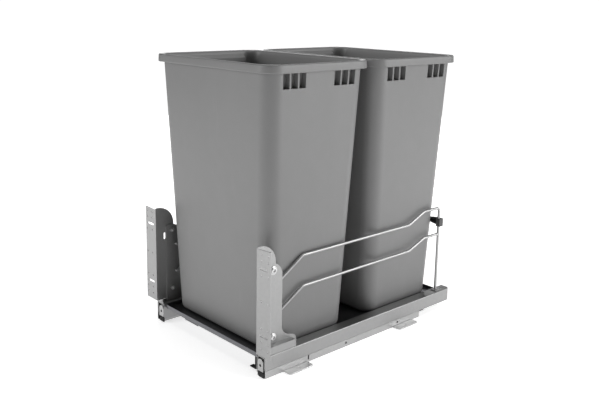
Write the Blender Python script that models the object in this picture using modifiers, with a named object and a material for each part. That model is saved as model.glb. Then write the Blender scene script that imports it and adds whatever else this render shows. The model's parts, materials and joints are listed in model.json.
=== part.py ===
"""Pull-out double waste bin unit for a base cabinet.

Two lift-out bins stand in a sheet-steel tray on a pair of floor-mounted,
under-mount, soft-close slides. Wire side rails and a rear crossbar keep the
bins upright, and two adjustable brackets at the front carry the cabinet door.

+X is the unit's right, -Y is the door side, +Z is up. The unit stands on the
cabinet floor at z = 0. Lengths below are in millimetres and are scaled to
metres when the shapes are made.
"""

import math

import bmesh
import bpy
from mathutils import Matrix, Vector

MM = 0.001
GAP = 0.3  # between pieces that touch

# Overall
HEIGHT = 584.0
HALF_DEPTH = 285.25  # door flange face to rear end of the side rails

# Bins
BIN_HALF_X = 187.0  # outside of the rim band
BIN_HALF_Y = 134.5
BIN_FRONT_Y = -140.75
BIN_REAR_Y = 138.75
BIN_WALL = 2.4
BIN_BASE_Z = 33.8
BIN_NECK_X = 178.4  # body under the rim
BIN_NECK_Y = 125.7
BIN_FOOT_X = 153.1  # body at the base
BIN_FOOT_Y = 105.1
BIN_CORNER = 31.0
RIM_BAND = 16.0
POCKET_Z = (538.4, 566.5)
POCKETS_Y = ((36.5, 52.5), (56.5, 72.5), (76.5, 92.0))
POCKET_DEPTH = 11.5

# Side rails and tray
RAIL_OUT = 185.0
RAIL_IN = 160.0
RAIL_TOP = 42.8
SKIRT_Z = 14.7
SHEET = 1.4
SLIDE_FRONT = -275.6
SLIDE_REAR = 175.2
SKIRT_FRONT = -256.0
PAN_Z = 32.0
PAN_TOP = 41.0
PAN_FRONT = -271.5
PAN_REAR = 261.7
PAN_HALF_X = 159.3
PAN_SHEET = 1.2

# Slides
TRAVEL = 440.0
FIXED_IN = 162.2
FIXED_WALL = 14.4
MIDDLE_X = (167.0, 179.0)
MIDDLE_Y = (-270.0, 170.0)

# Door brackets
PLATE_T = 1.8
DOOR_X = 170.2  # inner face of the door plate
DOOR_FLANGE_X = 209.5
DOOR_Z = (49.0, 256.0)
DOOR_REAR_Y = -240.8
BRACKET_X = DOOR_X - GAP - PLATE_T
BRACKET_Y = (-260.8, -222.5)
BRACKET_TOP = 215.5
SCREW_Y = -247.0
SCREW_Z = (203.2, 70.8)

# Wire rails
WIRE_R = 3.0
POST_X = 171.5
POST_Y = 248.0
WIRE_FRONT_X = 164.7
CROSSBAR_Z = 205.0
CROSSBAR_Y = 256.2
HINGE_Y = -245.8  # both latch levers turn about an upright pin here
LEFT_SHIFT = 340.0  # both slides carry the same front fittings, not mirrored ones


def clear_scene():
    for obj in list(bpy.data.objects):
        bpy.data.objects.remove(obj, do_unlink=True)


def collection(name):
    made = bpy.data.collections.new(name)
    bpy.context.scene.collection.children.link(made)
    return made


clear_scene()
PARTS = collection("pull_out_waste_bin_unit")
CUTTERS = collection("cutters")
GRAPH = bpy.context.evaluated_depsgraph_get


def material(name, colour, roughness, metallic):
    made = bpy.data.materials.new(name)
    made.use_nodes = True
    shader = made.node_tree.nodes["Principled BSDF"]
    shader.inputs["Base Color"].default_value = (*colour, 1.0)
    shader.inputs["Roughness"].default_value = roughness
    shader.inputs["Metallic"].default_value = metallic
    made.diffuse_color = (*colour, 1.0)
    return made


LOOKS = {
    "bin_plastic": ((0.26, 0.26, 0.26), 0.45, 0.0),
    "zinc_sheet": ((0.62, 0.63, 0.64), 0.34, 1.0),
    "tray_steel": ((0.17, 0.17, 0.18), 0.36, 1.0),
    "slide_steel": ((0.55, 0.56, 0.57), 0.38, 1.0),
    "bright_wire": ((0.74, 0.75, 0.76), 0.22, 1.0),
    "screw_steel": ((0.68, 0.68, 0.70), 0.30, 1.0),
    "black_plastic": ((0.03, 0.03, 0.032), 0.50, 0.0),
    "grey_plastic": ((0.20, 0.20, 0.21), 0.48, 0.0),
}


def finish(obj, look, smooth=False):
    """Names the object's own material and puts it with the parts."""
    obj.data.materials.clear()
    colour, roughness, metallic = LOOKS[look]
    obj.data.materials.append(
        material(f"{obj.name}_{look}", colour, roughness, metallic)
    )
    if smooth:
        obj.data.polygons.foreach_set("use_smooth", [True] * len(obj.data.polygons))
    return obj


def mesh_object(name, bm, where=None):
    bmesh.ops.recalc_face_normals(bm, faces=bm.faces)
    data = bpy.data.meshes.new(name)
    bm.to_mesh(data)
    bm.free()
    obj = bpy.data.objects.new(name, data)
    (where or PARTS).objects.link(obj)
    return obj


def box(name, x, y, z, where=None):
    """A box from its low and high X, Y and Z."""
    bm = bmesh.new()
    bmesh.ops.create_cube(bm, size=1.0)
    size = Vector((x[1] - x[0], y[1] - y[0], z[1] - z[0])) * MM
    centre = Vector((x[0] + x[1], y[0] + y[1], z[0] + z[1])) * 0.5 * MM
    bmesh.ops.scale(bm, vec=size, verts=bm.verts)
    obj = mesh_object(name, bm, where)
    obj.location = centre
    return obj


def cylinder(name, centre, axis, radius, length, sides=20, where=None):
    bm = bmesh.new()
    bmesh.ops.create_cone(
        bm,
        cap_ends=True,
        segments=sides,
        radius1=radius * MM,
        radius2=radius * MM,
        depth=length * MM,
    )
    obj = mesh_object(name, bm, where)
    turn = {"X": (0, math.pi / 2, 0), "Y": (math.pi / 2, 0, 0), "Z": (0, 0, 0)}[axis]
    obj.rotation_euler = turn
    obj.location = Vector(centre) * MM
    return obj


def rounded(corners, steps=5):
    """Points of a closed outline whose corners (u, v, radius) are rounded."""
    out = []
    count = len(corners)
    for i, (u, v, radius) in enumerate(corners):
        here = Vector((u, v))
        if radius <= 0:
            out.append(here)
            continue
        to_last = (Vector(corners[i - 1][:2]) - here).normalized()
        to_next = (Vector(corners[(i + 1) % count][:2]) - here).normalized()
        half = to_last.angle(to_next) / 2
        centre = here + (to_last + to_next).normalized() * (radius / math.sin(half))
        start = here + to_last * (radius / math.tan(half)) - centre
        end = here + to_next * (radius / math.tan(half)) - centre
        a0 = math.atan2(start.y, start.x)
        sweep = (math.atan2(end.y, end.x) - a0 + math.pi) % (2 * math.pi) - math.pi
        for k in range(steps + 1):
            angle = a0 + sweep * k / steps
            out.append(centre + Vector((math.cos(angle), math.sin(angle))) * radius)
    return out


def to_mesh(curve_obj, name):
    """The curve as a welded mesh object in the same place."""
    bpy.context.view_layer.update()
    evaluated = curve_obj.evaluated_get(GRAPH())
    data = bpy.data.meshes.new_from_object(evaluated)
    place = curve_obj.matrix_world.copy()
    owner = curve_obj.users_collection[0]
    bpy.data.objects.remove(curve_obj, do_unlink=True)
    bm = bmesh.new()
    bm.from_mesh(data)
    bmesh.ops.remove_doubles(bm, verts=bm.verts, dist=2e-6)
    bmesh.ops.dissolve_degenerate(bm, edges=bm.edges, dist=1e-6)
    bmesh.ops.recalc_face_normals(bm, faces=bm.faces)
    bm.to_mesh(data)
    bm.free()
    obj = bpy.data.objects.new(name, data)
    obj.data.name = name
    owner.objects.link(obj)
    obj.matrix_world = place
    return obj


def plate(name, outline, axis, low, high, where=None):
    """A flat outline as thick as low to high along an axis.

    The outline is in (Y, Z) for X, in (X, Z) for Y and in (X, Y) for Z.
    """
    curve = bpy.data.curves.new(name + "_outline", "CURVE")
    curve.dimensions = "2D"
    curve.fill_mode = "BOTH"
    curve.extrude = (high - low) / 2 * MM
    spline = curve.splines.new("POLY")
    spline.points.add(len(outline) - 1)
    for point, (u, v) in zip(spline.points, outline):
        point.co = (u * MM, v * MM, 0, 1)
    spline.use_cyclic_u = True
    obj = bpy.data.objects.new(name + "_outline", curve)
    (where or PARTS).objects.link(obj)
    middle = (low + high) / 2 * MM
    obj.matrix_world = {
        "X": Matrix(((0, 0, 1, middle), (1, 0, 0, 0), (0, 1, 0, 0), (0, 0, 0, 1))),
        "Y": Matrix(((1, 0, 0, 0), (0, 0, -1, middle), (0, 1, 0, 0), (0, 0, 0, 1))),
        "Z": Matrix(((1, 0, 0, 0), (0, 1, 0, 0), (0, 0, 1, middle), (0, 0, 0, 1))),
    }[axis]
    return to_mesh(obj, name)


def side_profile(name, points, side, low, high, steps=3, where=None):
    """An (X, Z) section drawn for the right side, run along Y, on either side."""
    outline = [(side * p.x, p.y) for p in rounded(points, steps)]
    return plate(name, outline, "Y", low, high, where)


def span(side, low, high):
    """Low and high X on one side, from values drawn for the right."""
    return (low, high) if side > 0 else (-high, -low)


def combine(obj, cutter, how="DIFFERENCE"):
    """Adds a Boolean, and moves the cutter among the helpers."""
    for owner in list(cutter.users_collection):
        owner.objects.unlink(cutter)
    CUTTERS.objects.link(cutter)
    cutter.hide_render = True
    cutter.display_type = "WIRE"
    modifier = obj.modifiers.new(cutter.name, "BOOLEAN")
    modifier.operation = how
    modifier.object = cutter
    modifier.solver = "EXACT"


def joined(name, pieces):
    """Several separate cutters as one cutter object."""
    bm = bmesh.new()
    for piece in pieces:
        bpy.context.view_layer.update()
        data = piece.data.copy()
        data.transform(piece.matrix_world)
        bm.from_mesh(data)
        bpy.data.meshes.remove(data)
        bpy.data.objects.remove(piece, do_unlink=True)
    return mesh_object(name, bm, CUTTERS)


def soften(obj, width, segments=1, angle=40.0):
    modifier = obj.modifiers.new("soft_edges", "BEVEL")
    modifier.width = width * MM
    modifier.segments = segments
    modifier.limit_method = "ANGLE"
    modifier.angle_limit = math.radians(angle)
    modifier.use_clamp_overlap = True


def wire(name, path, radius):
    """A round wire along a list of points."""
    curve = bpy.data.curves.new(name + "_path", "CURVE")
    curve.dimensions = "3D"
    curve.bevel_depth = radius * MM
    curve.bevel_resolution = 2
    curve.use_fill_caps = True
    spline = curve.splines.new("POLY")
    spline.points.add(len(path) - 1)
    for point, at in zip(spline.points, path):
        point.co = (*(Vector(at) * MM), 1)
    obj = bpy.data.objects.new(name + "_path", curve)
    PARTS.objects.link(obj)
    return to_mesh(obj, name)


def bent(points, steps=5):
    """An open (Y, Z) path with its inner corners rounded."""
    loop = rounded([(*p, 0.0) if len(p) == 2 else p for p in points], steps)
    return loop


def turned(name, profile, origin, axis, steps=24):
    """A turned shape. The profile is (radius, along) from its far end back to its near end."""
    bm = bmesh.new()
    last = None
    for radius, along in profile:
        here = bm.verts.new((radius * MM, 0, along * MM))
        if last is not None:
            bm.edges.new((last, here))
        last = here
    data = bpy.data.meshes.new(name)
    bm.to_mesh(data)
    bm.free()
    obj = bpy.data.objects.new(name, data)
    PARTS.objects.link(obj)
    screw = obj.modifiers.new("turn", "SCREW")
    screw.axis = "Z"
    screw.steps = steps
    screw.render_steps = steps
    screw.use_merge_vertices = True
    screw.merge_threshold = 0.00005
    screw.use_smooth_shade = True
    turn = {
        "X": (0, math.pi / 2, 0),
        "-X": (0, -math.pi / 2, 0),
        "Y": (-math.pi / 2, 0, 0),
        "Z": (0, 0, 0),
    }[axis]
    obj.rotation_euler = turn
    obj.location = Vector(origin) * MM
    return obj


# ---------------------------------------------------------------- bins


def make_bin(name, centre_y):
    """A tapered bucket with a hollow rim band and pocket clusters on its ends."""
    lip_z = HEIGHT - BIN_WALL
    bm = bmesh.new()
    bmesh.ops.create_cube(bm, size=2.0)
    for vert in bm.verts:
        top = vert.co.z > 0
        hx, hy = (BIN_NECK_X, BIN_NECK_Y) if top else (BIN_FOOT_X, BIN_FOOT_Y)
        vert.co = (
            Vector((vert.co.x * hx, vert.co.y * hy, lip_z if top else BIN_BASE_Z)) * MM
        )
    upright = [
        e for e in bm.edges if abs(e.verts[0].co.z - e.verts[1].co.z) > 100 * MM
    ]
    bmesh.ops.bevel(
        bm,
        geom=upright,
        offset=BIN_CORNER * MM,
        segments=9,
        profile=0.5,
        affect="EDGES",
    )
    low = BIN_BASE_Z * MM + 1e-6
    ring = [
        e
        for e in bm.edges
        if all(v.co.z < low for v in e.verts)
        and any(abs(f.normal.z) < 0.5 for f in e.link_faces)
    ]
    bmesh.ops.bevel(
        bm, geom=ring, offset=9.0 * MM, segments=3, profile=0.5, affect="EDGES"
    )
    high = lip_z * MM - 1e-6
    bmesh.ops.delete(
        bm,
        geom=[f for f in bm.faces if all(v.co.z > high for v in f.verts)],
        context="FACES_ONLY",
    )
    bm.normal_update()
    out_face = max(bm.faces, key=lambda f: f.calc_center_median().x)
    if out_face.normal.x < 0:
        bmesh.ops.reverse_faces(bm, faces=bm.faces)
    for scale_x, scale_y, drop in (
        (
            (BIN_HALF_X - BIN_WALL) / BIN_NECK_X,
            (BIN_HALF_Y - BIN_WALL) / BIN_NECK_Y,
            0.0,
        ),
        (1.0, 1.0, RIM_BAND - BIN_WALL),
    ):
        edges = [
            e
            for e in bm.edges
            if e.is_boundary and all(v.co.z > 400 * MM for v in e.verts)
        ]
        made = bmesh.ops.extrude_edge_only(bm, edges=edges)["geom"]
        for vert in (g for g in made if isinstance(g, bmesh.types.BMVert)):
            vert.co.x *= scale_x
            vert.co.y *= scale_y
            vert.co.z -= drop * MM
    data = bpy.data.meshes.new(name)
    bm.to_mesh(data)
    bm.free()
    obj = bpy.data.objects.new(name, data)
    PARTS.objects.link(obj)
    obj.location = (0, centre_y * MM, 0)
    finish(obj, "bin_plastic")
    shell = obj.modifiers.new("wall", "SOLIDIFY")
    shell.thickness = BIN_WALL * MM
    shell.offset = -1.0
    shell.use_even_offset = True
    shell.use_quality_normals = True
    soften(obj, 0.7, 2, 50.0)
    bumps, holes = [], []
    for side in (1, -1):
        for end in (1, -1):
            ys = sorted((end * 34.1, end * 94.3))
            bumps.append(
                box(
                    "bump",
                    span(side, 177.0 - POCKET_DEPTH - 2.2, 175.9),
                    (centre_y + ys[0], centre_y + ys[1]),
                    (POCKET_Z[0] - 2.2, POCKET_Z[1] + 2.3),
                )
            )
            for low_y, high_y in POCKETS_Y:
                ys = sorted((end * low_y, end * high_y))
                holes.append(
                    box(
                        "hole",
                        span(side, 177.0 - POCKET_DEPTH, 181.0),
                        (centre_y + ys[0], centre_y + ys[1]),
                        POCKET_Z,
                    )
                )
    combine(obj, joined(name + "_pocket_walls", bumps), "UNION")
    combine(obj, joined(name + "_pockets", holes))
    return obj


make_bin("front_bin", BIN_FRONT_Y)
make_bin("rear_bin", BIN_REAR_Y)

# ---------------------------------------------------------------- tray pan

bm = bmesh.new()
bmesh.ops.create_grid(bm, x_segments=1, y_segments=1, size=1.0)
for vert in bm.verts:
    vert.co = Vector(
        (
            PAN_HALF_X * (1 if vert.co.x > 0 else -1),
            PAN_FRONT if vert.co.y < 0 else PAN_REAR,
            PAN_Z,
        )
    ) * MM
bmesh.ops.bevel(
    bm,
    geom=list(bm.verts),
    offset=5.0 * MM,
    segments=3,
    profile=0.5,
    affect="VERTICES",
)
made = bmesh.ops.extrude_edge_only(bm, edges=[e for e in bm.edges if e.is_boundary])
for vert in (g for g in made["geom"] if isinstance(g, bmesh.types.BMVert)):
    vert.co.z = PAN_TOP * MM
bm.normal_update()
floor = min(bm.faces, key=lambda f: f.calc_center_median().z)
bmesh.ops.recalc_face_normals(bm, faces=bm.faces)
bm.normal_update()
if floor.normal.z > 0:
    bmesh.ops.reverse_faces(bm, faces=bm.faces)
data = bpy.data.meshes.new("tray_pan")
bm.to_mesh(data)
bm.free()
tray_pan = bpy.data.objects.new("tray_pan", data)
PARTS.objects.link(tray_pan)
finish(tray_pan, "tray_steel")
sheet = tray_pan.modifiers.new("sheet", "SOLIDIFY")
sheet.thickness = PAN_SHEET * MM
sheet.offset = -1.0
sheet.use_even_offset = True
combine(
    tray_pan,
    box(
        "tray_front_tab",
        (-84, -37),
        (PAN_FRONT + 0.1, PAN_FRONT + 1.1),
        (29.4, 34.0),
    ),
    "UNION",
)

# ---------------------------------------------------------------- both sides

for side, word in ((1, "right"), (-1, "left")):
    # Side rail: outer skirt, top flange and inner wall in one folded sheet.
    rail = side_profile(
        f"side_rail_{word}",
        [
            (RAIL_OUT, SKIRT_Z, 0),
            (RAIL_OUT, RAIL_TOP, 1.8),
            (RAIL_IN, RAIL_TOP, 1.8),
            (RAIL_IN, 6.0, 0),
            (RAIL_IN + SHEET, 6.0, 0),
            (RAIL_IN + SHEET, RAIL_TOP - SHEET, 0),
            (RAIL_OUT - SHEET, RAIL_TOP - SHEET, 0),
            (RAIL_OUT - SHEET, SKIRT_Z, 0),
        ],
        side,
        SLIDE_FRONT,
        HALF_DEPTH,
    )
    finish(rail, "zinc_sheet")
    cuts = [
        box(
            "skirt_seam",
            span(side, RAIL_OUT - 0.5, RAIL_OUT + 2.0),
            (SKIRT_FRONT - 0.9, SKIRT_FRONT),
            (25.0, RAIL_TOP - 2.5),
        )
    ]
    # The rear end of the flange is rounded off at the outer corner.
    cuts.append(
        plate(
            "rear_round",
            [
                (side * p.x, p.y)
                for p in rounded(
                    [
                        (RAIL_OUT + 2, HALF_DEPTH - 9, 0),
                        (RAIL_OUT + 2, HALF_DEPTH + 2, 0),
                        (RAIL_OUT - 9, HALF_DEPTH + 2, 0),
                        (RAIL_OUT - 3, HALF_DEPTH - 3, 0),
                    ],
                    2,
                )
            ],
            "Z",
            SKIRT_Z - 2,
            RAIL_TOP + 2,
        )
    )
    combine(rail, joined(f"side_rail_cuts_{word}", cuts))

    # Fixed slide member on the cabinet floor.
    fixed = side_profile(
        f"slide_rail_{word}",
        [
            (FIXED_IN, 0, 0.8),
            (RAIL_OUT, 0, 0.8),
            (RAIL_OUT, FIXED_WALL, 0),
            (RAIL_OUT - SHEET, FIXED_WALL, 0),
            (RAIL_OUT - SHEET, SHEET, 0),
            (FIXED_IN + SHEET, SHEET, 0),
            (FIXED_IN + SHEET, 12.0, 0),
            (FIXED_IN, 12.0, 0),
        ],
        side,
        SLIDE_FRONT,
        SLIDE_REAR,
        2,
    )
    finish(fixed, "slide_steel")
    cuts = [
        cylinder("hole", (side * 184, y, 8.6), "X", 2.3, 8, 16)
        for y in (-60.0, 101.0)
    ]
    cuts.append(box("slot", span(side, 182, 187), (-166.5, -163.5), (5.0, 16.0)))
    combine(fixed, joined(f"slide_rail_cuts_{word}", cuts))

    # Feet that take the cabinet-floor screws.
    for place, low, high in (("front", -230.0, -168.0), ("rear", 86.0, 149.0)):
        foot = plate(
            f"floor_foot_{place}_{word}",
            [
                (side * p.x, p.y)
                for p in rounded(
                    [
                        (RAIL_OUT + GAP, low, 0),
                        (RAIL_OUT + 20.0, low, 7),
                        (RAIL_OUT + 20.0, high, 7),
                        (RAIL_OUT + GAP, high, 0),
                    ],
                    4,
                )
            ],
            "Z",
            0.0,
            2.6,
        )
        finish(foot, "slide_steel")
        soften(foot, 0.5, 1, 50)
        combine(
            foot,
            cylinder(
                f"foot_hole_{place}_{word}",
                (side * (RAIL_OUT + 10.5), (low + high) / 2, 1.3),
                "Z",
                2.4,
                8,
                16,
            ),
        )

    # Middle member: an I section that runs between the other two.
    middle = side_profile(
        f"slide_middle_{word}",
        [
            (MIDDLE_X[0], 4.2, 0),
            (MIDDLE_X[1], 4.2, 0),
            (MIDDLE_X[1], 5.7, 0),
            (173.8, 5.7, 0),
            (173.8, 33.4, 0),
            (MIDDLE_X[1], 33.4, 0),
            (MIDDLE_X[1], 34.9, 0),
            (MIDDLE_X[0], 34.9, 0),
            (MIDDLE_X[0], 33.4, 0),
            (172.2, 33.4, 0),
            (172.2, 5.7, 0),
            (MIDDLE_X[0], 5.7, 0),
        ],
        side,
        *MIDDLE_Y,
    )
    finish(middle, "slide_steel")

    # Roller cages between the members.
    for place, low, high, ys in (
        ("lower", 1.7, 3.9, (-60.0, 60.0)),
        ("upper", 35.2, 39.0, (-100.0, 20.0)),
    ):
        cage = box(
            f"roller_cage_{place}_{word}", span(side, 167.5, 178.5), ys, (low, high)
        )
        finish(cage, "grey_plastic")

    # Drawer member under the side rail.
    drawer = side_profile(
        f"slide_drawer_{word}",
        [
            (163.0, 14.0, 0),
            (163.0, 41.0, 1.0),
            (183.1, 41.0, 1.0),
            (183.1, 16.0, 0),
            (181.7, 16.0, 0),
            (181.7, 39.6, 0),
            (164.4, 39.6, 0),
            (164.4, 14.0, 0),
        ],
        side,
        SLIDE_FRONT,
        SLIDE_REAR,
        2,
    )
    finish(drawer, "slide_steel")

    # Arched catch and rubber bumper that close the drawer member's front end.
    shift = 0.0 if side > 0 else LEFT_SHIFT
    catch = plate(
        f"front_catch_{word}",
        [
            (p.x - shift, p.y)
            for p in rounded(
                [
                    (165.0, 12.4, 0),
                    (180.8, 12.4, 0),
                    (180.8, 37.4, 7.8),
                    (165.0, 37.4, 7.8),
                ],
                6,
            )
        ],
        "Y",
        SLIDE_FRONT - 2.0,
        SLIDE_FRONT - GAP,
    )
    finish(catch, "slide_steel")
    combine(
        catch,
        cylinder(f"catch_hole_{word}", (172.6 - shift, -277, 24.0), "Y", 2.6, 8, 20),
    )
    bumper = box(
        f"slide_bumper_{word}",
        (168.4 - shift, 184.4 - shift),
        (SLIDE_FRONT - 3.0, SLIDE_FRONT - GAP),
        (1.2, 12.0),
    )
    finish(bumper, "black_plastic")
    soften(bumper, 1.1, 2)

    # Guide at the rear end of the drawer member.
    guide = box(
        f"rear_guide_{word}",
        span(side, 179.7, 183.2),
        (SLIDE_REAR + GAP, SLIDE_REAR + 19.0),
        (11.5, 41.0),
    )
    finish(guide, "black_plastic")
    soften(guide, 0.5, 1)

    # Squeeze lever that frees the tray from the drawer member, and its block.
    # The right one stands inboard of its slide, the left one outboard.
    if side > 0:
        block_x, block_z, blade_x, blade_z = (
            (146.5, 159.6),
            (12.0, 31.6),
            (147.6, 150.0),
            (4.6, 31.4),
        )
    else:
        block_x, block_z, blade_x, blade_z = (
            (-196.0, -RAIL_OUT - GAP),
            (14.0, 36.0),
            (-192.6, -190.2),
            (13.6, 38.0),
        )
    block = box(f"latch_block_{word}", block_x, (-243.5, -222.0), block_z)
    finish(block, "black_plastic")
    soften(block, 0.8, 1)
    lever = box(f"latch_lever_{word}", blade_x, (-270.0, HINGE_Y), blade_z)
    finish(lever, "black_plastic")
    soften(lever, 0.5, 1)
    barrel = cylinder(
        f"latch_barrel_{word}",
        (sum(blade_x) / 2, HINGE_Y, sum(blade_z) / 2),
        "Z",
        2.0,
        blade_z[1] - blade_z[0] - 1.6,
        24,
    )
    combine(lever, barrel, "UNION")
    if side > 0:
        thumb = box("latch_thumb", (132.6, 149.0), (-269.6, -260.5), (4.9, 7.1))
        combine(lever, thumb, "UNION")

    # Soft-close damper beside the fixed member.
    housing = side_profile(
        f"damper_housing_{word}",
        [
            (146.0, 0.0, 1.0),
            (161.9, 0.0, 0),
            (161.9, 4.2, 0),
            (159.4, 4.2, 0),
            (159.4, 20.0, 2.0),
            (146.0, 20.0, 2.0),
        ],
        side,
        60.0,
        165.0,
        3,
    )
    finish(housing, "grey_plastic")
    combine(
        housing,
        cylinder(f"damper_bore_{word}", (side * 152.7, 92.0, 12.5), "Y", 3.2, 74, 20),
    )
    piston = turned(
        f"damper_piston_{word}",
        [
            (0.0, 105.0),
            (2.6, 105.0),
            (2.6, 9.0),
            (5.6, 9.0),
            (6.2, 8.2),
            (6.2, 0.8),
            (5.6, 0.0),
            (0.0, 0.0),
        ],
        (side * 152.7, 15.0, 12.5),
        "Y",
        24,
    )
    finish(piston, "screw_steel")

    # Bracket plate: upright, foot on the rail top and small outer wall.
    upright = plate(
        f"bracket_plate_{word}",
        [
            tuple(p)
            for p in rounded(
                [
                    (BRACKET_Y[0], RAIL_TOP + GAP + 0.7, 0),
                    (BRACKET_Y[0], BRACKET_TOP, 4),
                    (BRACKET_Y[1], BRACKET_TOP, 25),
                    (BRACKET_Y[1], 70.0, 22),
                    (-186.0, 60.0, 14),
                    (-184.0, RAIL_TOP + GAP + 0.7, 0),
                ],
                6,
            )
        ],
        "X",
        *span(side, BRACKET_X, BRACKET_X + PLATE_T),
    )
    finish(upright, "zinc_sheet")
    combine(
        upright,
        box(
            f"bracket_foot_{word}",
            span(side, BRACKET_X + 0.5, RAIL_OUT - 0.9),
            (-254.0, -198.3),
            (RAIL_TOP + GAP, RAIL_TOP + GAP + PLATE_T),
        ),
        "UNION",
    )
    outer = plate(
        f"bracket_outer_wall_{word}",
        [
            tuple(p)
            for p in rounded(
                [
                    (-262.4, RAIL_TOP + GAP + 0.7, 0),
                    (-262.4, 58.5, 2),
                    (-198.9, 58.5, 6),
                    (-198.9, RAIL_TOP + GAP + 0.7, 0),
                ],
                5,
            )
        ],
        "X",
        *span(side, RAIL_OUT - 2.2, RAIL_OUT - 0.4),
    )
    combine(upright, outer, "UNION")
    combine(
        upright,
        box(
            f"bracket_ledge_{word}",
            span(side, BRACKET_X + 0.5, RAIL_OUT - 0.9),
            (-239.6, -200.2),
            (56.3, 58.1),
        ),
        "UNION",
    )
    combine(
        upright,
        box(
            f"bracket_ledge_front_{word}",
            span(side, 173.0, RAIL_OUT - 0.9),
            (-261.6, -239.0),
            (56.3, 58.1),
        ),
        "UNION",
    )
    holes = [
        cylinder("hole", (side * 169, SCREW_Y, z), "X", 2.9, 10, 20) for z in SCREW_Z
    ]
    combine(upright, joined(f"bracket_holes_{word}", holes))

    # Door plate: upright against the bracket plate, flange against the door.
    door = plate(
        f"door_plate_{word}",
        [
            tuple(p)
            for p in rounded(
                [
                    (-HALF_DEPTH, DOOR_Z[0], 0),
                    (-HALF_DEPTH, DOOR_Z[1], 3),
                    (DOOR_REAR_Y, DOOR_Z[1], 38),
                    (DOOR_REAR_Y, DOOR_Z[0], 2),
                ],
                8,
            )
        ],
        "X",
        *span(side, DOOR_X, DOOR_X + PLATE_T),
    )
    finish(door, "zinc_sheet")
    flange = plate(
        f"door_flange_{word}",
        [
            (side * p.x, p.y)
            for p in rounded(
                [
                    (DOOR_X, DOOR_Z[0], 0),
                    (DOOR_FLANGE_X, DOOR_Z[0], 2),
                    (DOOR_FLANGE_X, DOOR_Z[1] - 1.0, 2),
                    (DOOR_X, DOOR_Z[1] - 3.2, 0),
                ],
                3,
            )
        ],
        "Y",
        -HALF_DEPTH,
        -HALF_DEPTH + PLATE_T,
    )
    combine(door, flange, "UNION")
    holes = []
    for z in (218.6, 89.0):
        holes.append(
            plate(
                "slot",
                [
                    (side * p.x, p.y)
                    for p in rounded(
                        [
                            (179.0, z - 2.6, 2.5),
                            (203.0, z - 2.6, 2.5),
                            (203.0, z + 2.6, 2.5),
                            (179.0, z + 2.6, 2.5),
                        ],
                        4,
                    )
                ],
                "Y",
                -HALF_DEPTH - 3,
                -HALF_DEPTH + 5,
            )
        )
    for z in (246.0, 233.0, 206.0, 155.0, 104.0, 77.0, 63.0):
        for x in (184.0, 203.0):
            holes.append(
                cylinder("hole", (side * x, -HALF_DEPTH + 1, z), "Y", 1.9, 8, 12)
            )
    for y, z, half, wide in (
        (SCREW_Y, SCREW_Z[0], 8.0, 2.9),
        (SCREW_Y, SCREW_Z[1], 8.0, 2.9),
        (-263.6, 191.5, 7.5, 2.4),
    ):
        holes.append(
            plate(
                "slot",
                [
                    tuple(p)
                    for p in rounded(
                        [
                            (y - wide, z - half, wide - 0.1),
                            (y + wide, z - half, wide - 0.1),
                            (y + wide, z + half, wide - 0.1),
                            (y - wide, z + half, wide - 0.1),
                        ],
                        4,
                    )
                ],
                "X",
                *span(side, DOOR_X - 3, DOOR_X + 5),
            )
        )
    combine(door, joined(f"door_plate_holes_{word}", holes))

    # Clamp screws and nuts that hold the door plate at its height.
    for place, z in zip(("upper", "lower"), SCREW_Z):
        screw = turned(
            f"clamp_screw_{place}_{word}",
            [
                (0.0, 11.0),
                (2.3, 11.0),
                (2.5, 10.6),
                (2.5, 0.0),
                (6.2, 0.0),
                (6.2, -0.9),
                (4.6, -0.9),
                (4.4, -2.0),
                (3.2, -3.0),
                (0.0, -3.2),
            ],
            (side * (DOOR_X + PLATE_T + GAP), SCREW_Y, z),
            "-X" if side > 0 else "X",
            24,
        )
        finish(screw, "screw_steel")
        nut = cylinder(
            f"clamp_nut_{place}_{word}",
            (side * (BRACKET_X - GAP - 1.7), SCREW_Y, z),
            "X",
            5.2,
            3.4,
            6,
        )
        finish(nut, "screw_steel")
        combine(
            nut,
            cylinder(
                f"nut_bore_{place}_{word}",
                (side * (BRACKET_X - 2), SCREW_Y, z),
                "X",
                2.8,
                9,
                20,
            ),
        )

    # Wire rails. X runs from the bracket plate out to the rear post.
    def lean(y):
        share = min(1.0, max(0.0, (y + 238.5) / (POST_Y + 238.5)))
        return side * (WIRE_FRONT_X + (POST_X - WIRE_FRONT_X) * share)

    upper = bent(
        [
            (-238.5, 168.6, 0),
            (-167.5, 214.6, 16),
            (144.2, 217.0, 16),
            (195.2, 239.3, 16),
            (POST_Y, 239.3, 9),
            (POST_Y, RAIL_TOP + GAP, 0),
        ],
        4,
    )
    path = [(lean(p.x), p.x, p.y) for p in upper]
    finish(wire(f"side_wire_upper_{word}", path, WIRE_R), "bright_wire", True)
    lower = bent(
        [
            (-238.5, 107.6, 0),
            (-166.0, 152.2, 16),
            (147.0, 157.2, 16),
            (198.4, 177.4, 16),
            (POST_Y - WIRE_R - GAP, 177.6, 0),
        ],
        4,
    )
    path = [(lean(p.x), p.x, p.y) for p in lower]
    finish(wire(f"side_wire_lower_{word}", path, WIRE_R), "bright_wire", True)

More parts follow.
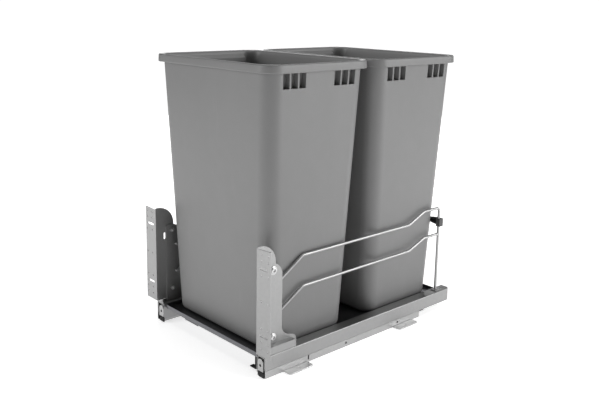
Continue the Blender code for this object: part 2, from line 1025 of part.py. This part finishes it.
    # Foot plate round the post, and the clip that holds the crossbar.
    foot = box(
        f"post_foot_{word}",
        span(side, 164.5, 179.5),
        (239.5, 262.0),
        (RAIL_TOP + GAP, RAIL_TOP + 1.9),
    )
    finish(foot, "slide_steel")
    combine(
        foot,
        cylinder(
            f"post_foot_hole_{word}", (side * POST_X, POST_Y, 44), "Z", 3.4, 8, 24
        ),
    )
    clip = box(
        f"crossbar_clip_{word}",
        span(side, 167.0, 177.6),
        (POST_Y - 4.6, POST_Y + 9.4),
        (CROSSBAR_Z - 9.2, CROSSBAR_Z + 9.2),
    )
    finish(clip, "grey_plastic")
    soften(clip, 1.0, 2)
    combine(
        clip,
        cylinder(
            f"clip_bore_{word}", (side * POST_X, POST_Y, CROSSBAR_Z), "Z", 3.35, 30, 24
        ),
    )

# ---------------------------------------------------------------- across

half = 166.6
crossbar = turned(
    "rear_crossbar",
    [
        (0.0, half),
        (8.6, half),
        (8.6, half - 7.0),
        (7.4, half - 17.0),
        (4.4, half - 34.0),
        (4.4, 34.0 - half),
        (7.4, 17.0 - half),
        (8.6, 7.0 - half),
        (8.6, -half),
        (0.0, -half),
    ],
    (0, CROSSBAR_Y, CROSSBAR_Z),
    "X",
    24,
)
finish(crossbar, "black_plastic")

tie = box("base_tie", (-FIXED_IN + GAP, FIXED_IN - GAP), (14.0, 44.0), (0.0, 1.4))
finish(tie, "slide_steel")
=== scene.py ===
import json
import math

import bmesh
import bpy
from mathutils import Matrix, Vector


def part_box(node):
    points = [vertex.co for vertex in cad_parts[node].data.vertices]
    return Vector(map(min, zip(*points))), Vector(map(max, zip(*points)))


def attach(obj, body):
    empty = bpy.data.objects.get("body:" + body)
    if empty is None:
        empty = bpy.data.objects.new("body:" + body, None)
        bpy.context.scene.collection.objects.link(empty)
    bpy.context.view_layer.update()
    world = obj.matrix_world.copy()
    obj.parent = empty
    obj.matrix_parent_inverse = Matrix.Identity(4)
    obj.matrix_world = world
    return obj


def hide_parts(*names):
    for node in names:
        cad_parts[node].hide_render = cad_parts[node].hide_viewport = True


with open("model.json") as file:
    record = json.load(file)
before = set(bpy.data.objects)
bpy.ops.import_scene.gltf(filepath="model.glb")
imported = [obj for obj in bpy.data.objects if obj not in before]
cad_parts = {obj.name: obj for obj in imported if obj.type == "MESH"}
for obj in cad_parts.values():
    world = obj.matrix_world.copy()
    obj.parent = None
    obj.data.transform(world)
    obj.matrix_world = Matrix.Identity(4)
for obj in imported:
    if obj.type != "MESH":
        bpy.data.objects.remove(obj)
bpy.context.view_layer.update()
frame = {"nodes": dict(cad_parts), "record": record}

MM = 0.001
NODES = frame["nodes"]
scene = bpy.context.scene


# ------------------------------------------------------------------ camera
def place_camera():
    """The camera at the viewing angle: 47.3 degrees round from the front, 11 degrees down.

    A small shift only, so that the object stays inside the frame in other views.
    """
    az, pitch, roll = math.radians(47.3343), math.radians(10.9591), math.radians(0.9787)
    back = Vector((math.sin(az) * math.cos(pitch), -math.cos(az) * math.cos(pitch), math.sin(pitch)))
    right = (-back).cross(Vector((0, 0, 1))).normalized()
    up = right.cross(-back)
    x = right * math.cos(roll) + up * math.sin(roll)
    y = -right * math.sin(roll) + up * math.cos(roll)
    data = bpy.data.cameras.new("camera")
    data.sensor_width = 36.0
    data.lens = 46.186
    data.shift_x = -0.0019
    data.shift_y = -0.08
    data.clip_start, data.clip_end = 0.05, 60
    obj = bpy.data.objects.new("camera", data)
    scene.collection.objects.link(obj)
    turn = Matrix((x, y, back)).transposed().to_4x4()
    obj.matrix_world = Matrix.Translation((1.2028, -1.1321, 0.6906)) @ turn
    scene.camera = obj


place_camera()


# --------------------------------------------------------------- materials
class Nodes:
    """A short way to write a node tree."""

    def __init__(self, name):
        self.mat = bpy.data.materials.new(name)
        self.mat.use_nodes = True
        self.tree = self.mat.node_tree
        self.tree.nodes.clear()
        self.out = self.tree.nodes.new("ShaderNodeOutputMaterial")
        self.bsdf = self.tree.nodes.new("ShaderNodeBsdfPrincipled")
        self.link(self.bsdf.outputs["BSDF"], self.out.inputs["Surface"])
        self.coord = self.tree.nodes.new("ShaderNodeTexCoord").outputs["Object"]

    def link(self, a, b):
        self.tree.links.new(a, b)

    def put(self, socket, value):
        if isinstance(value, bpy.types.NodeSocket):
            self.link(value, socket)
        else:
            socket.default_value = value

    def new(self, kind, inputs=None, **props):
        node = self.tree.nodes.new(kind)
        for key, value in props.items():
            setattr(node, key, value)
        for key, value in (inputs or {}).items():
            self.put(node.inputs[key], value)
        return node

    def mapped(self, scale, rotation=(0, 0, 0), offset=(0, 0, 0)):
        return self.new(
            "ShaderNodeMapping",
            {"Vector": self.coord, "Scale": scale, "Rotation": rotation, "Location": offset},
        ).outputs["Vector"]

    def noise(self, scale, detail=3.0, rough=0.55, vector=None, distortion=0.0):
        return self.new(
            "ShaderNodeTexNoise",
            {
                "Vector": vector or self.coord,
                "Scale": scale,
                "Detail": detail,
                "Roughness": rough,
                "Distortion": distortion,
            },
        ).outputs["Fac"]

    def math(self, operation, a, b=0.0, clamp=False):
        node = self.new("ShaderNodeMath", operation=operation, use_clamp=clamp)
        self.put(node.inputs[0], a)
        self.put(node.inputs[1], b)
        return node.outputs[0]

    def span(self, value, low, high, to_low, to_high):
        return self.new(
            "ShaderNodeMapRange",
            {
                "Value": value,
                "From Min": low,
                "From Max": high,
                "To Min": to_low,
                "To Max": to_high,
            },
        ).outputs["Result"]

    def mix(self, factor, a, b):
        node = self.new("ShaderNodeMix", data_type="RGBA")
        self.put(node.inputs[0], factor)
        self.put(node.inputs[6], a)
        self.put(node.inputs[7], b)
        return node.outputs[2]

    def tone(self, colour, factor):
        """The colour times a factor that varies over the surface."""
        node = self.new("ShaderNodeVectorMath", operation="SCALE")
        node.inputs[0].default_value = colour
        self.put(node.inputs["Scale"], factor)
        return node.outputs[0]

    def bump(self, height, strength, distance, normal=None):
        node = self.new(
            "ShaderNodeBump", {"Height": height, "Strength": strength, "Distance": distance}
        )
        if normal is not None:
            self.link(normal, node.inputs["Normal"])
        return node.outputs["Normal"]

    def edges(self, radius):
        """1 on sharp edges, 0 on flat ground."""
        bevel = self.new("ShaderNodeBevel", {"Radius": radius}, samples=4)
        geometry = self.new("ShaderNodeNewGeometry")
        dot = self.new("ShaderNodeVectorMath", operation="DOT_PRODUCT")
        self.link(bevel.outputs[0], dot.inputs[0])
        self.link(geometry.outputs["Normal"], dot.inputs[1])
        return self.span(dot.outputs["Value"], 0.995, 0.80, 0.0, 1.0)


def moulded_plastic(name, colour, rough, grain, spec=0.5, wear=0.10, scuff=0.08):
    """Satin moulded polymer: spark-eroded grain, faint flow marks, rubbed edges and light scuffs."""
    n = Nodes(name)
    flow = n.noise(5.0, 4.0, 0.6, n.mapped((1.0, 1.0, 0.35)), 0.4)
    cloud = n.noise(38.0, 3.0)
    fine = n.noise(1500.0, 2.0, 0.6)
    mid = n.noise(420.0, 3.0, 0.65)
    marks = n.noise(60.0, 5.0, 0.75, n.mapped((1.0, 1.0, 0.12), (0.5, 0.35, 0.2)))
    scuffs = n.span(marks, 0.60, 0.72, 0.0, 1.0)
    edge = n.edges(1.6 * MM)
    value = n.math("ADD", n.span(flow, 0.3, 0.7, 0.965, 1.03), n.span(cloud, 0.3, 0.7, -0.012, 0.012))
    value = n.math("ADD", value, n.span(mid, 0.3, 0.7, -0.02, 0.02))
    value = n.math("ADD", value, n.math("MULTIPLY", edge, wear))
    value = n.math("ADD", value, n.math("MULTIPLY", scuffs, scuff * 0.5))
    n.put(n.bsdf.inputs["Base Color"], n.tone(colour, value))
    r = n.math("ADD", n.span(mid, 0.3, 0.7, rough - 0.03, rough + 0.04), n.span(flow, 0.3, 0.7, -0.02, 0.03))
    r = n.math("SUBTRACT", r, n.math("MULTIPLY", n.math("MAXIMUM", edge, scuffs), 0.06))
    n.put(n.bsdf.inputs["Roughness"], r)
    n.bsdf.inputs["Specular IOR Level"].default_value = spec
    n.bsdf.inputs["IOR"].default_value = 1.49
    height = n.math("ADD", n.math("MULTIPLY", mid, 0.6), n.math("MULTIPLY", fine, 0.4))
    normal = n.bump(height, grain, 0.12 * MM)
    n.put(n.bsdf.inputs["Normal"], n.bump(flow, 0.10, 1.2 * MM, normal))
    return n.mat


def rolled_metal(name, colour, rough, run, spangle=0.05, grain=0.35, wear=0.10, metallic=1.0, stain=0.04):
    """Zinc-coated sheet: rolling lines along one axis, faint crystals, rubbed bright edges, dull handling marks."""
    n = Nodes(name)
    stretch = {"X": (8.0, 900.0, 900.0), "Y": (900.0, 8.0, 900.0), "Z": (900.0, 900.0, 8.0)}[run]
    lines = n.noise(1.0, 3.0, 0.7, n.mapped(stretch))
    broad = n.noise(1.0, 2.0, 0.5, n.mapped(tuple(s * 0.16 for s in stretch)))
    crystal = n.new(
        "ShaderNodeTexVoronoi",
        {"Vector": n.coord, "Scale": 210.0, "Randomness": 1.0},
        feature="F1",
    )
    grey = n.new("ShaderNodeSeparateColor", {"Color": crystal.outputs["Color"]}).outputs[0]
    patch = n.noise(14.0, 4.0, 0.6)
    edge = n.edges(0.7 * MM)
    value = n.math("ADD", n.span(lines, 0.25, 0.75, 0.985 - grain * 0.05, 1.015 + grain * 0.05), n.span(grey, 0.0, 1.0, -spangle, spangle))
    value = n.math("ADD", value, n.span(patch, 0.3, 0.7, -stain, stain))
    value = n.math("ADD", value, n.math("MULTIPLY", edge, wear))
    n.put(n.bsdf.inputs["Base Color"], n.tone(colour, value))
    n.bsdf.inputs["Metallic"].default_value = metallic
    r = n.math("ADD", n.span(lines, 0.25, 0.75, rough - 0.05, rough + 0.06), n.span(grey, 0.0, 1.0, -spangle * 0.5, spangle * 0.5))
    r = n.math("ADD", r, n.span(patch, 0.35, 0.7, -0.03, 0.05))
    r = n.math("SUBTRACT", r, n.math("MULTIPLY", edge, 0.08))
    n.put(n.bsdf.inputs["Roughness"], r)
    normal = n.bump(lines, grain * 0.30, 0.05 * MM)
    n.put(n.bsdf.inputs["Normal"], n.bump(broad, 0.06, 0.25 * MM, normal))
    return n.mat


def plated_wire(name, colour, rough, metallic=1.0):
    n = Nodes(name)
    draw = n.noise(1.0, 3.0, 0.6, n.mapped((900.0, 14.0, 900.0)))
    pit = n.noise(900.0, 2.0, 0.6)
    patch = n.noise(30.0, 3.0)
    value = n.math("ADD", n.span(draw, 0.3, 0.7, 0.97, 1.03), n.span(patch, 0.3, 0.7, -0.03, 0.03))
    n.put(n.bsdf.inputs["Base Color"], n.tone(colour, value))
    n.bsdf.inputs["Metallic"].default_value = metallic
    r = n.math("ADD", n.span(draw, 0.3, 0.7, rough - 0.04, rough + 0.06), n.span(patch, 0.4, 0.7, -0.02, 0.05))
    n.put(n.bsdf.inputs["Roughness"], r)
    height = n.math("ADD", n.math("MULTIPLY", draw, 0.6), n.math("MULTIPLY", pit, 0.4))
    n.put(n.bsdf.inputs["Normal"], n.bump(height, 0.12, 0.06 * MM))
    return n.mat


LOOKS = {
    "bin_plastic": moulded_plastic("bin_plastic", (0.195, 0.195, 0.195), 0.40, 0.20),
    "zinc_sheet": rolled_metal("zinc_sheet", (0.345, 0.345, 0.345), 0.44, "Y", 0.022, 0.28, stain=0.022),
    "zinc_upright": rolled_metal("zinc_upright", (0.345, 0.345, 0.345), 0.44, "Z", 0.022, 0.28, stain=0.022),
    "slide_steel": rolled_metal("slide_steel", (0.42, 0.42, 0.42), 0.40, "Y", 0.03),
    # tray_steel's dark base colour is partly painted shade: it darkens the pan towards the shade and dark
    # reflections inside the tray
    "tray_steel": rolled_metal("tray_steel", (0.17, 0.17, 0.18), 0.34, "Y", 0.03),
    "bright_wire": plated_wire("bright_wire", (0.42, 0.42, 0.42), 0.40),
    "screw_steel": rolled_metal("screw_steel", (0.60, 0.60, 0.60), 0.30, "X", 0.02, 0.5),
    "black_plastic": moulded_plastic("black_plastic", (0.008, 0.008, 0.0085), 0.55, 0.30, 0.25, wear=0.8, scuff=0.5),
    "grey_plastic": moulded_plastic("grey_plastic", (0.060, 0.060, 0.061), 0.46, 0.28, wear=0.3, scuff=0.2),
    # the floor feet's zinc is a lit copy of zinc_sheet: its lighter base colour is painted light on the feet's
    # shaded tops
    "foot_zinc_painted_light": rolled_metal("foot_zinc_painted_light", (0.58, 0.58, 0.58), 0.40, "Y", 0.022, 0.28, stain=0.022),
}


# ------------------------------------------------------------- CAD nodes
def dress(name, look, width=0.35, angle=32.0, segments=2):
    """A CAD part keeps its mesh. Modifiers join its triangles, round its edges and set its shading."""
    obj = NODES[name]
    obj.data.materials.clear()
    obj.data.materials.append(LOOKS[look])
    for face in obj.data.polygons:
        face.use_smooth = True
    weld = obj.modifiers.new("weld", "WELD")
    weld.merge_threshold = 2e-6
    if width:
        flat = obj.modifiers.new("flat", "DECIMATE")
        flat.decimate_type = "DISSOLVE"
        flat.angle_limit = math.radians(0.6)
        edge = obj.modifiers.new("edge", "BEVEL")
        edge.width = width * MM
        edge.segments = segments
        edge.limit_method = "ANGLE"
        edge.angle_limit = math.radians(angle)
        edge.use_clamp_overlap = True
        edge.harden_normals = False
    shade = obj.modifiers.new("normals", "WEIGHTED_NORMAL")
    shade.keep_sharp = False
    shade.weight = 80
    return obj


record = frame["record"]
SLOT = {part["node"]: part["material_slot"] for part in record["subparts"]}
for name, slot in SLOT.items():
    look = slot
    if slot == "zinc_sheet" and ("bracket" in name or "door" in name):
        look = "zinc_upright"
    # the floor feet take the lighter copy of the zinc, which is painted light
    if name.startswith("floor_foot"):
        look = "foot_zinc_painted_light"
    dress(name, look)


# --------------------------------------------------------- new piece tools
def keep(name, bm, look, body, stands_for=(), smooth=True):
    """Turns a bmesh in millimetres into a finished piece that rides on a body."""
    bmesh.ops.scale(bm, vec=(MM, MM, MM), verts=bm.verts)
    data = bpy.data.meshes.new(name)
    bm.to_mesh(data)
    bm.free()
    data.polygons.foreach_set("use_smooth", [smooth] * len(data.polygons))
    obj = bpy.data.objects.new(name, data)
    scene.collection.objects.link(obj)
    data.materials.append(LOOKS[look])
    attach(obj, body)
    if stands_for:
        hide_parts(*stands_for)
    return obj


def rounding(obj, width, angle=40.0, segments=2):
    edge = obj.modifiers.new("edge", "BEVEL")
    edge.width = width * MM
    edge.segments = segments
    edge.limit_method = "ANGLE"
    edge.angle_limit = math.radians(angle)
    edge.use_clamp_overlap = True
    shade = obj.modifiers.new("normals", "WEIGHTED_NORMAL")
    shade.weight = 80
    return obj


# -------------------------------------------------------------------- bins
FOOT_X, FOOT_Y, NECK_X, NECK_Y = 153.1, 105.1, 178.4, 125.7
BASE_Z, LIP_Z, TOP_Z, WALL, CORNER = 33.8, 581.6, 583.95, 2.4, 31.0
POCKET_LOW, POCKET_HIGH = 538.4, 566.5
POCKETS = ((36.5, 52.5), (56.5, 72.5), (76.5, 92.0))


def body_half(z):
    t = (z - BASE_Z) / (LIP_Z - BASE_Z)
    return FOOT_X + (NECK_X - FOOT_X) * t, FOOT_Y + (NECK_Y - FOOT_Y) * t


FLAT_Y = 93.59
MARKS = sorted({0.0, 34.1, 36.5, 52.5, 56.5, 72.5, 76.5, 92.0})
END_SHARE = [-m / FLAT_Y for m in reversed(MARKS) if m] + [m / FLAT_Y for m in MARKS]
END_SHARE = [-1.0] + END_SHARE + [1.0]
SIDE_SHARE = [1.0, 0.75, 0.5, 0.25, 0.0, -0.25, -0.5, -0.75, -1.0]
ARC = 12


def ring_points(hx, hy, r, z):
    """Points round a rounded rectangle, from the +X end's -Y edge, the same number at every height."""
    fx, fy = hx - r, hy - r
    pts = [(hx, fy * u) for u in END_SHARE]
    corner = lambda cx, cy, start: [
        (cx + r * math.cos(start + math.pi / 2 * k / ARC), cy + r * math.sin(start + math.pi / 2 * k / ARC))
        for k in range(1, ARC)
    ]
    pts += corner(fx, fy, 0.0)
    pts += [(fx * u, hy) for u in SIDE_SHARE]
    pts += corner(-fx, fy, math.pi / 2)
    pts += [(-hx, -fy * u) for u in END_SHARE]
    pts += corner(-fx, -fy, math.pi)
    pts += [(-fx * u, -hy) for u in SIDE_SHARE]
    pts += corner(fx, -fy, 3 * math.pi / 2)
    return [(x, y, z) for x, y in pts]


def bin_piece(name, node, body, centre_y):
    rings = []

    def add(hx, hy, r, z):
        rings.append(ring_points(hx, hy, r, z))

    # underside: a recessed panel inside a raised standing ring
    for inset, z in ((22.0, 36.4), (19.5, 36.2), (18.0, 35.0), (16.8, 34.0), (15.5, BASE_Z)):
        hx, hy = body_half(BASE_Z)
        add(hx - inset, hy - inset, CORNER - 13.0, z)
    for k in range(7):
        a = math.pi / 2 * k / 6
        inset, z = 9.0 * (1 - math.sin(a)), BASE_Z + 9.0 * (1 - math.cos(a))
        hx, hy = body_half(z)
        add(hx - inset, hy - inset, CORNER - inset * 0.85, z)
    for z in (60.0, 100.0, 150.0, 200.0, 260.0, 320.0, 380.0, 440.0, 490.0, 520.0, 530.0, POCKET_LOW, POCKET_HIGH, 571.0, 574.5):
        add(*body_half(z), CORNER, z)
    first_pocket = len(rings) - 4
    # out under the rim, down inside the band, round its lower edge and up its face
    hx, hy = body_half(576.4)
    add(hx + 0.5, hy + 0.5, CORNER + 0.5, 577.0)
    add(hx + 1.7, hy + 1.7, CORNER + 1.6, 578.4)
    bx, by = 187.0, 134.5
    add(bx - 4.2, by - 4.2, CORNER - 0.6, 579.2)
    add(bx - 2.9, by - 2.9, CORNER + 0.3, 578.6)
    add(bx - 2.4, by - 2.4, CORNER + 0.6, 577.2)
    add(bx - 2.3, by - 2.3, CORNER + 0.7, 569.6)
    add(bx - 2.0, by - 2.0, CORNER + 0.9, 568.5)
    add(bx - 1.3, by - 1.3, CORNER + 1.3, 568.0)
    add(bx - 0.5, by - 0.5, CORNER + 1.8, 568.2)
    add(bx - 0.1, by - 0.1, CORNER + 2.0, 568.9)
    add(bx, by, CORNER + 2.0, 569.8)
    add(bx - 0.1, by - 0.1, CORNER + 2.0, 575.0)
    add(bx - 0.25, by - 0.25, CORNER + 2.0, 580.2)
    for k in range(1, 6):
        a = math.pi / 2 * k / 5
        add(bx - 0.3 - 3.2 * (1 - math.cos(a)), by - 0.3 - 3.2 * (1 - math.cos(a)), CORNER + 2.0 - 3.0 * (1 - math.cos(a)), 580.4 + (TOP_Z - 580.4) * math.sin(a))
    # across the top and down the inside
    nx, ny = body_half(580.0)
    for inset, z in ((-3.2, 583.75), (-0.9, 583.3), (0.8, 582.2), (1.9, 580.4)):
        add(nx - inset, ny - inset, CORNER - inset - 0.4, z)
    for z in (576.0, 568.8, 536.2, 500.0, 440.0, 380.0, 320.0, 260.0, 200.0, 150.0, 100.0, 60.0):
        hx, hy = body_half(z)
        add(hx - WALL, hy - WALL, CORNER - WALL, z)
    inner_bump = [k for k, r in enumerate(rings) if abs(r[0][2] - 568.8) < 0.01][-1]
    for k in range(6):
        a = math.pi / 2 * k / 5
        inset, z = WALL + 7.0 * (1 - math.cos(a)), BASE_Z + WALL + 7.0 * (1 - math.sin(a))
        hx, hy = body_half(z)
        add(hx - inset, hy - inset, CORNER - inset * 0.9, z)
    bm = bmesh.new()
    made = [[bm.verts.new((x, y + centre_y, z)) for x, y, z in ring] for ring in rings]
    n = len(made[0])
    grid = {}
    for k in range(len(made) - 1):
        for i in range(n):
            j = (i + 1) % n
            grid[k, i] = bm.faces.new((made[k][i], made[k][j], made[k + 1][j], made[k + 1][i]))
    bm.faces.new(list(reversed(made[0])))
    bm.faces.new(made[-1])
    end = len(END_SHARE)
    second = end + (ARC - 1) + len(SIDE_SHARE) + (ARC - 1)
    ys = [FLAT_Y * u for u in END_SHARE]

    def columns(low, high):
        return [i for i in range(end - 1) if ys[i] >= low - 0.3 and ys[i + 1] <= high + 0.3]

    # the thicker band inside each end that holds the pockets
    for start, sign in ((0, 1), (second, -1)):
        faces = [grid[inner_bump, start + i] for i in columns(-FLAT_Y, FLAT_Y)]
        base = {v for face in faces for v in face.verts}
        out = bmesh.ops.extrude_face_region(bm, geom=faces)["geom"]
        for v in (g for g in out if isinstance(g, bmesh.types.BMVert)):
            v.co.x = sign * (164.4 - 0.035 * (568.8 - v.co.z))
        # its upper and lower flanks slope
        for v in base:
            v.co.z += 6.4 if v.co.z > 550 else -12.0
        bmesh.ops.delete(bm, geom=faces, context="FACES")
    # the pockets, each with a little draft
    for start, sign in ((0, 1), (second, -1)):
        for side in (1, -1):
            for a, b in POCKETS:
                low, high = sorted((side * a, side * b))
                if sign < 0:
                    low, high = -high, -low
                for i in columns(low, high):
                    face = grid[first_pocket, start + i]
                    middle = face.calc_center_median()
                    out = bmesh.ops.extrude_face_region(bm, geom=[face])["geom"]
                    for v in (g for g in out if isinstance(g, bmesh.types.BMVert)):
                        v.co.x -= sign * 11.8
                        v.co.y += (middle.y - v.co.y) * 0.06
                        v.co.z += (middle.z - v.co.z) * 0.04
                    bmesh.ops.delete(bm, geom=[face], context="FACES")
    bmesh.ops.recalc_face_normals(bm, faces=bm.faces)
    obj = keep(name, bm, "bin_plastic", body, [node])
    return rounding(obj, 0.55, 38.0, 2)


BIN_Y = {}
for node, body in (("front_bin", "front_bin_body"), ("rear_bin", "rear_bin_body")):
    low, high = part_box(node)
    BIN_Y[node] = (low.y + high.y) / 2 / MM
    bin_piece(node + "_shell", node, body, BIN_Y[node])


# ------------------------------------------------------------------- wires
def fillet(points, steps=7):
    """(x, y, z, radius) corners to a smooth path."""
    path = []
    for k, p in enumerate(points):
        here = Vector(p[:3])
        r = p[3]
        if r <= 0 or k in (0, len(points) - 1):
            path.append(here)
            continue
        a = (Vector(points[k - 1][:3]) - here).normalized()
        b = (Vector(points[k + 1][:3]) - here).normalized()
        half = a.angle(b) / 2
        cut = min(r / math.tan(half), (Vector(points[k - 1][:3]) - here).length * 0.48, (Vector(points[k + 1][:3]) - here).length * 0.48)
        r = cut * math.tan(half)
        centre = here + (a + b).normalized() * (r / math.sin(half))
        u, v = (here + a * cut - centre), (here + b * cut - centre)
        angle = u.angle(v)
        for i in range(steps + 1):
            t = i / steps
            w = (u * math.sin((1 - t) * angle) + v * math.sin(t * angle)) / math.sin(angle)
            path.append(centre + w)
    return path


def tube(bm, path, radius, sides=20, round_end=0.0):
    """A closed tube along a path, with slightly rounded ends."""
    up = Vector((1, 0, 0))
    stations = []
    for k, p in enumerate(path):
        a = path[max(0, k - 1)]
        b = path[min(len(path) - 1, k + 1)]
        stations.append((p, (b - a).normalized(), radius))
    if round_end:
        first, last = stations[0], stations[-1]
        stations = [(first[0], first[1], radius - round_end), (first[0] + first[1] * round_end * 0.6, first[1], radius - round_end * 0.25)] + \
            [(first[0] + first[1] * round_end * 1.4, first[1], radius)] + stations[1:-1] + \
            [(last[0] - last[1] * round_end * 1.4, last[1], radius), (last[0] - last[1] * round_end * 0.6, last[1], radius - round_end * 0.25), (last[0], last[1], radius - round_end)]
    rings = []
    for p, along, r in stations:
        side = (up - along * up.dot(along)).normalized()
        other = along.cross(side)
        rings.append([bm.verts.new(p + (side * math.cos(2 * math.pi * i / sides) + other * math.sin(2 * math.pi * i / sides)) * r) for i in range(sides)])
    for a, b in zip(rings, rings[1:]):
        for i in range(sides):
            j = (i + 1) % sides
            bm.faces.new((a[i], a[j], b[j], b[i]))
    bm.faces.new(list(reversed(rings[0])))
    bm.faces.new(rings[-1])


WIRE_R, POST_X, POST_Y, FRONT_X, RAIL_TOP = 3.0, 171.5, 248.0, 164.7, 42.8
for side, word in ((1, "right"), (-1, "left")):
    def lean(y, side=side):
        share = min(1.0, max(0.0, (y + 238.5) / (POST_Y + 238.5)))
        return side * (FRONT_X + (POST_X - FRONT_X) * share)

    runs = {
        "upper": [(-238.5, 168.6, 0), (-167.5, 214.6, 16), (144.2, 217.0, 16), (195.2, 239.3, 16), (POST_Y, 239.3, 9), (POST_Y, RAIL_TOP + 0.3, 0)],
        "lower": [(-238.5, 107.6, 0), (-166.0, 152.2, 16), (147.0, 157.2, 16), (198.4, 177.4, 16), (POST_Y - WIRE_R - 0.3, 177.6, 0)],
    }
    for place, corners in runs.items():
        bm = bmesh.new()
        path = fillet([(lean(y), y, z, r) for y, z, r in corners])
        tube(bm, path, WIRE_R, 20, 0.5)
        obj = keep(f"wire_{place}_{word}", bm, "bright_wire", "tray", [f"side_wire_{place}_{word}"])
        obj.modifiers.new("normals", "WEIGHTED_NORMAL")


# ----------------------------------------------------- screws and weld beads
def lathe(bm, centre, axis, profile, sides=32, lobes=None):
    """Turns (radius, height) pairs about an axis. lobes gives the ring numbers drawn as a six-lobed drive recess."""
    axis = Vector(axis).normalized()
    u = axis.orthogonal().normalized()
    v = axis.cross(u)
    rings = []
    for k, (radius, height) in enumerate(profile):
        ring = []
        for i in range(sides):
            a = 2 * math.pi * i / sides
            r = radius * (1 + 0.17 * math.cos(6 * a)) if lobes and k in lobes else radius
            ring.append(bm.verts.new(Vector(centre) + axis * height + (u * math.cos(a) + v * math.sin(a)) * r))
        rings.append(ring)
    for a, b in zip(rings, rings[1:]):
        for i in range(sides):
            j = (i + 1) % sides
            bm.faces.new((a[i], a[j], b[j], b[i]))
    bm.faces.new(list(reversed(rings[0])))
    bm.faces.new(rings[-1])


for side, word in ((1, "right"), (-1, "left")):
    for place in ("upper", "lower"):
        node = f"clamp_screw_{place}_{word}"
        low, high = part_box(node)
        y, z = (low.y + high.y) / 2 / MM, (low.z + high.z) / 2 / MM
        tip, seat = (161.3, 172.4)
        bm = bmesh.new()
        # shank through the plates with ridges along it, a plain flange, domed head and its drive recess
        profile = [(2.0, 0.0), (2.5, 0.5)]
        for k in range(10):
            profile += [(2.5, 1.0 + k), (2.28, 1.5 + k)]
        profile += [(2.5, 11.0), (7.6, 11.1), (8.4, 11.35), (8.4, 12.0), (7.9, 12.3), (6.6, 12.5), (6.2, 12.9), (6.0, 13.6), (5.2, 14.0), (4.1, 14.15)]
        first = len(profile)
        profile += [(3.3, 14.18), (3.05, 13.9), (2.95, 12.2), (2.4, 11.9), (0.6, 11.8)]
        lathe(bm, (side * tip, y, z), (side, 0, 0), profile, 36, set(range(first, first + 4)))
        bmesh.ops.recalc_face_normals(bm, faces=bm.faces)
        rounding(keep(node + "_piece", bm, "screw_steel", "tray", [node]), 0.12, 45.0, 2)
    # weld beads where the wires meet: the lower wire on the post, both wires on the bracket
    for name, spot, axis, size in (
        ("post", (side * POST_X, POST_Y - 2.2, 177.6), (0, 0, 1), (2.6, 3.6)),
        ("upper", (side * (FRONT_X + 0.6), -237.2, 169.4), (0, 0.72, 0.69), (4.0, 2.4)),
        ("lower", (side * (FRONT_X + 0.6), -237.2, 108.4), (0, 0.72, 0.69), (4.0, 2.4)),
    ):
        bm = bmesh.new()
        bmesh.ops.create_icosphere(bm, subdivisions=4, radius=1.0)
        along = Vector(axis).normalized()
        turn = along.to_track_quat("Z", "Y").to_matrix()
        for vert in bm.verts:
            p = vert.co.copy()
            swell = 1 + 0.10 * math.sin(7.0 * p.x + 2.0 * p.y) + 0.07 * math.sin(9.0 * p.z + 5.0 * p.y)
            vert.co = turn @ Vector((p.x * size[0] * swell, p.y * size[0] * swell, p.z * size[1] * swell)) + Vector(spot)
        keep(f"weld_{name}_{word}", bm, "bright_wire", "tray")


# ------------------------------------------------------------ stage, light
def area(name, where, target, size, power, size_y=None):
    data = bpy.data.lights.new(name, "AREA")
    data.energy = power
    data.shape = "RECTANGLE"
    data.size = size
    data.size_y = size_y or size
    obj = bpy.data.objects.new(name, data)
    scene.collection.objects.link(obj)
    obj.location = where
    obj.rotation_euler = (Vector(target) - Vector(where)).to_track_quat("-Z", "Y").to_euler()
    return obj


def stage():
    bm = bmesh.new()
    bmesh.ops.create_grid(bm, x_segments=1, y_segments=1, size=2.8)
    data = bpy.data.meshes.new("floor")
    bm.to_mesh(data)
    bm.free()
    floor = bpy.data.objects.new("floor", data)
    scene.collection.objects.link(floor)
    floor.location.z = -0.0004
    n = Nodes("pale_floor")
    soft = n.noise(2.0, 3.0)
    n.put(n.bsdf.inputs["Base Color"], n.tone((0.90, 0.90, 0.90), n.span(soft, 0.3, 0.7, 0.995, 1.005)))
    n.bsdf.inputs["Roughness"].default_value = 0.85
    n.bsdf.inputs["Emission Color"].default_value = (1, 1, 1, 1)
    # the floor glows a little, more so away from the object, so that it has no horizon
    away = n.new("ShaderNodeVectorMath", operation="LENGTH")
    n.link(n.coord, away.inputs[0])
    n.put(n.bsdf.inputs["Emission Strength"], n.span(away.outputs["Value"], 0.30, 1.2, 0.66, 1.05))
    floor.data.materials.append(n.mat)
    world = bpy.data.worlds.new("studio")
    world.use_nodes = True
    tree = world.node_tree
    ground = tree.nodes["Background"]
    ground.inputs["Color"].default_value = (1, 1, 1, 1)
    # what the camera sees behind the object is plain white; what lights the object is softer
    path = tree.nodes.new("ShaderNodeLightPath")
    span = tree.nodes.new("ShaderNodeMapRange")
    tree.links.new(path.outputs["Is Camera Ray"], span.inputs["Value"])
    span.inputs["To Min"].default_value = 0.06
    span.inputs["To Max"].default_value = 1.05
    tree.links.new(span.outputs["Result"], ground.inputs["Strength"])
    scene.world = world
    area("softbox_left", (-2.2, -4.6, 2.0), (0.0, 0.0, 0.30), 2.6, 118.0, 2.4)
    area("softbox_right", (2.3, 1.7, 1.2), (0.0, 0.0, 0.30), 1.7, 50.0, 1.6)
    area("softbox_top", (0.0, 0.2, 2.6), (0.0, 0.0, 0.30), 2.0, 22.0)
    area("softbox_back", (-2.6, 2.0, 1.5), (0.0, 0.0, 0.30), 2.0, 26.0, 1.6)


stage()
scene.view_settings.view_transform = "Standard"
scene.view_settings.look = "None"
